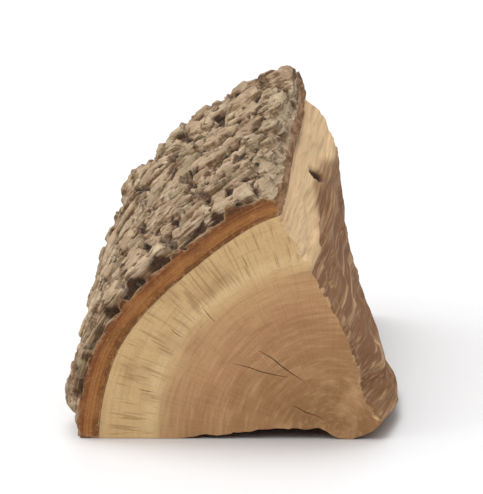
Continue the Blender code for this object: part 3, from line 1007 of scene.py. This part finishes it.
def torn_wood():
    paint = Paint(bpy.data.materials.new("torn_wood"))
    place, radius, polar = round_the_pith(paint)
    from_dent = paint.math("ABSOLUTE", paint.minus(paint.parts(place)[1], DENT_Y))
    outwards = paint.times(paint.between(from_dent, *HEART_REACH_ALONG), HEART_REACH)
    base = heart_and_sapwood(paint, paint.minus(radius, outwards), polar, TORN_HEART, TORN_SAPWOOD)
    base, _ = add_streaks(paint, base, place, STAINS)
    base, long_fibres = add_streaks(paint, base, place, LONG_FIBRES)
    base, fine_fibres = add_streaks(paint, base, place, FINE_FIBRES)
    at_edge = paint.attribute("fresh")
    splinters = paint.noise(place, SPLINTER_NOISE, 2.0, 0.6)
    splinters = paint.math("MULTIPLY_ADD", splinters, 1.6, paint.minus(at_edge, 0.8))
    fresh = paint.times(paint.between(splinters, 0.25, 0.80), paint.between(at_edge, 0.0, 0.2))
    base = paint.tint(base, fresh, 0.72, FRESH_WOOD)
    # Painted shade in the torn dent, darkest where it is deepest
    base = paint.mix(paint.between(paint.attribute("dent"), 0.10, 0.60), base, DENT_SHADE)
    height = paint.plus(paint.times(fine_fibres, 0.7), long_fibres)
    return paint.finish(base, 0.80, height, 0.0008, 0.8)


def bark_layers(paint, place, depth, closeness):
    """Thin layers that lie over one another in the bark, from 0 to 1, and wander a little along it."""
    x, y, _ = paint.parts(place)
    wander = paint.noise(paint.vector(paint.times(x, 40.0), paint.times(y, 40.0), 0.0), 1.0)
    level = paint.plus(paint.times(depth, closeness), wander)
    return paint.noise(paint.vector(level, paint.times(x, 22.0), paint.times(y, 22.0)), 1.0)


def bark_outside():
    paint = Paint(bpy.data.materials.new("bark_outside"))
    place = paint.place()
    depth = paint.attribute("depth")
    steep = paint.attribute("steep")
    thin_layers = bark_layers(paint, place, depth, 1300.0)
    thick_layers = bark_layers(paint, place, depth, 420.0)
    grain = paint.noise(place, (420.0, 160.0, 420.0), 4.0, 0.65)
    # dark holds painted shade in hollows and the browner colour of steep walls
    dark = paint.plus(paint.attribute("dark"), paint.times(paint.minus(grain, 0.5), 0.5))
    base = paint.mix(paint.between(dark, 0.15, 0.48), PLATE_TOPS, PLATE_SIDES_AND_SHADE)
    strength = paint.math("MULTIPLY_ADD", steep, 0.60, 0.18)
    base = streaked(paint, base, thin_layers, *THIN_LAYER_SHADES, strength, 0.14)
    strength = paint.math("MULTIPLY_ADD", steep, 0.65, 0.25)
    base = streaked(paint, base, thick_layers, *THICK_LAYER_SHADES, strength, 0.12)
    # Painted shade at the bottoms of the furrows, where dark is highest
    bottom = paint.mix(paint.between(grain, 0.35, 0.65), *FURROW_SHADE)
    base = paint.mix(paint.between(dark, 0.42, 0.78), base, bottom)
    base, _ = add_streaks(paint, base, place, BARK_FIBRES)
    pale = paint.noise(place, (130.0, 40.0, 130.0), 4.0, 0.7)
    pale = paint.times(paint.between(pale, 0.50, 0.68), paint.between(dark, 0.45, 0.20))
    base = paint.tint(base, pale, 0.55, PALE_BARK)
    green = paint.noise(place, (60.0, 24.0, 60.0), 4.0, 0.65)
    green = paint.times(paint.between(green, 0.50, 0.68), paint.between(dark, 0.62, 0.38))
    base = paint.tint(base, green, 0.36, GREEN_BARK)
    specks = paint.noise(place, 1100.0, 2.0, 0.7)
    base = paint.tint(base, paint.between(specks, 0.52, 0.72), 0.35, DARK_SPECKS)
    height = paint.plus(grain, paint.times(specks, 0.5))
    height = paint.plus(height, paint.times(thin_layers, 1.2))
    return paint.finish(base, 0.92, height, 0.0010, 0.8)


def bark_section():
    paint = Paint(bpy.data.materials.new("bark_section"))
    place = paint.place()
    depth = paint.attribute("depth")
    blotches = paint.minus(paint.noise(place, 170.0, 3.0, 0.6), 0.5)
    uneven_depth = paint.plus(depth, paint.times(blotches, 0.006))
    base = CUT_BARK_INSIDE
    for low, high, shade in CUT_BARK:
        base = paint.mix(paint.between(uneven_depth, low, high), base, shade)
    layers = bark_layers(paint, place, depth, 1500.0)
    base = paint.tint(base, paint.between(layers, 0.50, 0.66), 0.50, CUT_LAYER_SHADES[0])
    base = paint.tint(base, paint.between(layers, 0.50, 0.34), 0.30, CUT_LAYER_SHADES[1])
    fibres = paint.noise(place, (300.0, 35.0, 300.0), 3.0, 0.6)
    weathered = paint.mix(paint.between(fibres, 0.38, 0.62), *WEATHERED_BARK)
    base = paint.tint(base, paint.attribute("torn"), 0.70, weathered)
    base, _ = add_streaks(paint, base, place, PATCHES)
    specks = paint.noise(place, 700.0, 3.0, 0.7)
    base = paint.tint(base, paint.between(specks, 0.50, 0.70), 0.35, PALE_SPECKS)
    height = paint.plus(specks, paint.times(layers, 0.8))
    return paint.finish(base, 0.90, height, 0.0010, 0.9)


def direction(azimuth, elevation):
    """The way to something at an azimuth from -Y towards +X, and at an elevation."""
    level = math.cos(elevation)
    return Vector((math.sin(azimuth) * level, -math.cos(azimuth) * level, math.sin(elevation)))


def make_sky():
    """Light from all sides that changes evenly from one side to the other."""
    sky = Paint(bpy.data.worlds.new("studio"))
    outwards = sky.node("ShaderNodeTexCoord", {}).outputs["Generated"]
    feeds = {0: outwards, 1: SKY_SLOPE}
    slope = sky.node("ShaderNodeVectorMath", feeds, operation="DOT_PRODUCT").outputs["Value"]
    values = {"Strength": sky.plus(slope, SKY_STRENGTH), "Color": (1.0, 1.0, 1.0, 1.0)}
    bpy.context.scene.world = sky.fill("Background", values)


def add_turned(name, data, back):
    """A sun or camera with its back to a direction."""
    made = bpy.data.objects.new(name, data)
    made.rotation_mode = "QUATERNION"
    made.rotation_quaternion = back.to_track_quat("Z", "Y")
    bpy.context.scene.collection.objects.link(made)
    return made


def make_suns():
    for name, azimuth, elevation, strength, width in SUNS:
        light = bpy.data.lights.new(name, "SUN")
        light.energy = strength
        light.angle = math.radians(width)
        add_turned(name, light, direction(math.radians(azimuth), math.radians(elevation)))


def make_floor(ground):
    """A pale floor that runs past the view."""
    bpy.ops.mesh.primitive_plane_add(size=FLOOR_SIZE, location=(0.0, 0.0, ground - FLOOR_DROP))
    floor = bpy.context.object
    floor.name = "pale_floor"
    paint = Paint(bpy.data.materials.new("pale_floor"))
    values = {"Base Color": as_light(FLOOR_COLOUR), "Roughness": FLOOR_ROUGHNESS}
    floor.data.materials.append(paint.fill("Principled BSDF", values))


def make_camera(low, high):
    """The photo's direction of view, in which the log's far end rises behind its near end."""
    size = high - low
    back = direction(CAMERA_AZIMUTH, CAMERA_ELEVATION)
    seen_height = size.z * math.cos(CAMERA_ELEVATION) + size.y * math.sin(CAMERA_ELEVATION)
    camera = add_turned("camera", bpy.data.cameras.new("camera"), back)
    camera.data.sensor_width = SENSOR_SIZE
    camera.data.lens = SENSOR_SIZE * CAMERA_DISTANCE / (seen_height / LOG_SHARE_OF_FRAME)
    camera.data.clip_end = CLIP_END
    camera.location = (low + high) / 2 + back * CAMERA_DISTANCE
    bpy.context.scene.camera = camera


def main():
    low, high = CAD_BOX
    make_camera(low, high)
    make_floor(low.z)
    make_sky()
    make_suns()
    bpy.context.scene.view_settings.view_transform = "Standard"
    wood = make_wood()
    wood.data.materials.append(torn_wood())
    wood.data.materials.append(sawn_wood())
    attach(wood, "root")
    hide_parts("wood")
    bark = make_bark()
    bark.data.materials.append(bark_outside())
    bark.data.materials.append(bark_section())
    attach(bark, "root")
    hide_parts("bark")


main()
